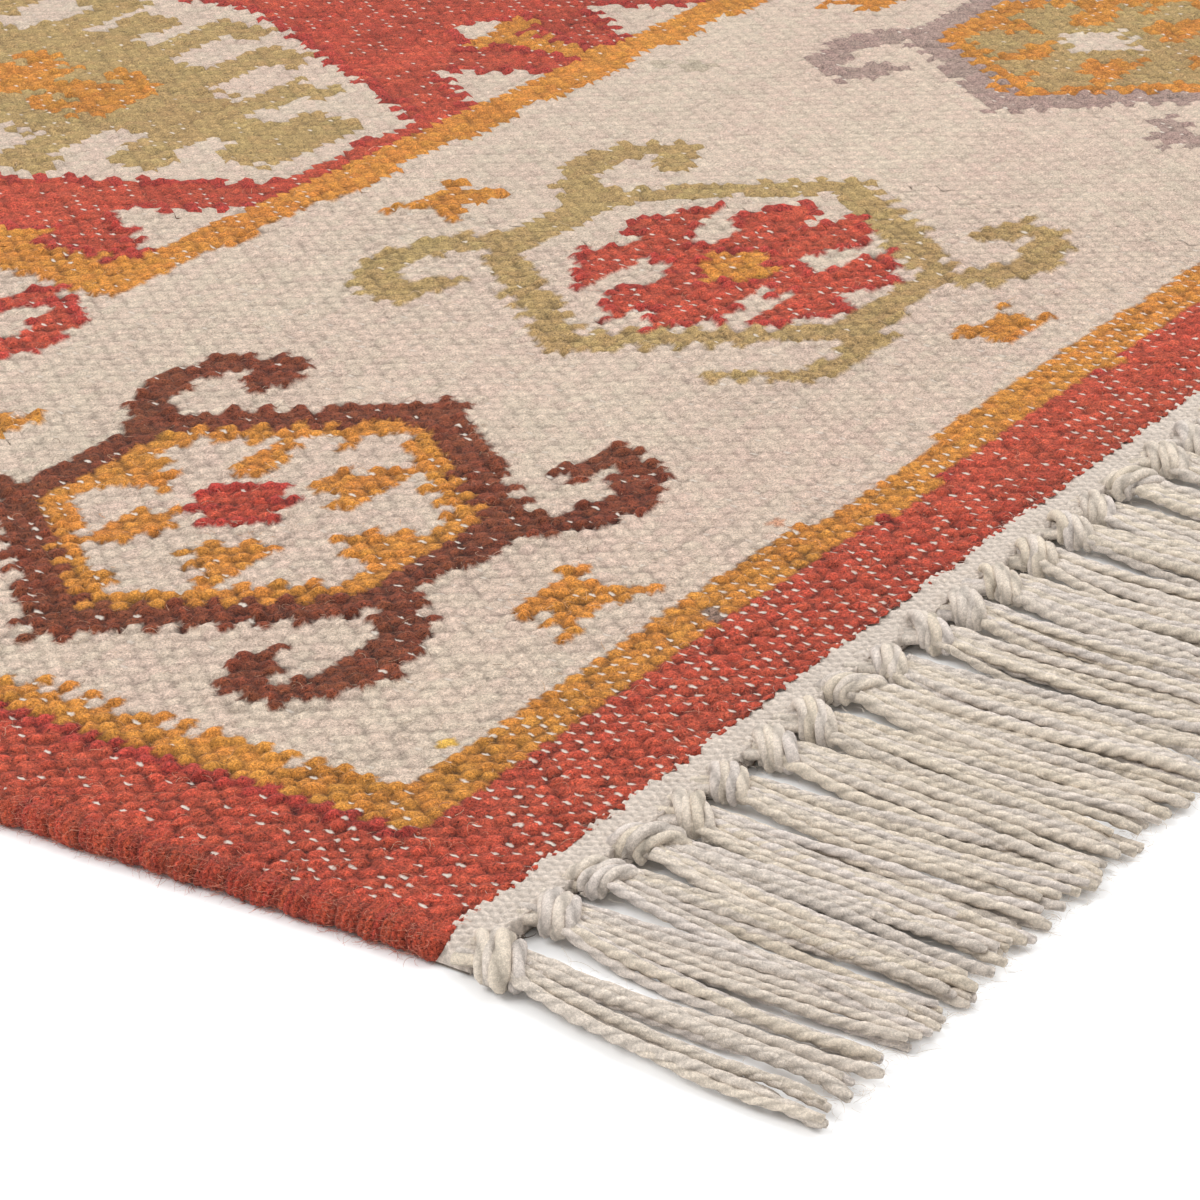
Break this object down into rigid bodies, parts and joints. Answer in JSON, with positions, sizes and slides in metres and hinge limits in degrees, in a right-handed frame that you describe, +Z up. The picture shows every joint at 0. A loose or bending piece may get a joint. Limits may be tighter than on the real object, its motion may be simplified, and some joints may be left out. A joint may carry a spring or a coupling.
{
  "type": "kilim rug",
  "caption": "Flat tapestry-woven kilim rug, wool on a cotton warp, with overcast sides, cotton end webs and a knotted fringe at both ends.",
  "frame": {"origin": "the middle of the rug's underside, on the floor", "axes": "+X across the rug, +Y along its length from the near fringe to the far one, +Z up out of its face"},
  "size_m": [1.2, 2.0114, 0.0104],
  "materials": {
    "wool_weave": "hand-spun wool, nubbly plain weave in red, ochre, cream, brown, sage and lilac-grey",
    "cotton_web": "plain undyed cotton weave",
    "wool_binding": "hairy hand-spun red wool, overcast",
    "cotton_fringe": "soft twisted undyed cotton cord, knotted"
  },
  "bodies": {
    "root": {"woven_ground": "wool_weave", "cotton_web_near": "cotton_web", "cotton_web_far": "cotton_web", "side_binding_left": "wool_binding", "side_binding_right": "wool_binding", "fringe_near": "cotton_fringe", "fringe_far": "cotton_fringe"}
  },
  "joints": []
}
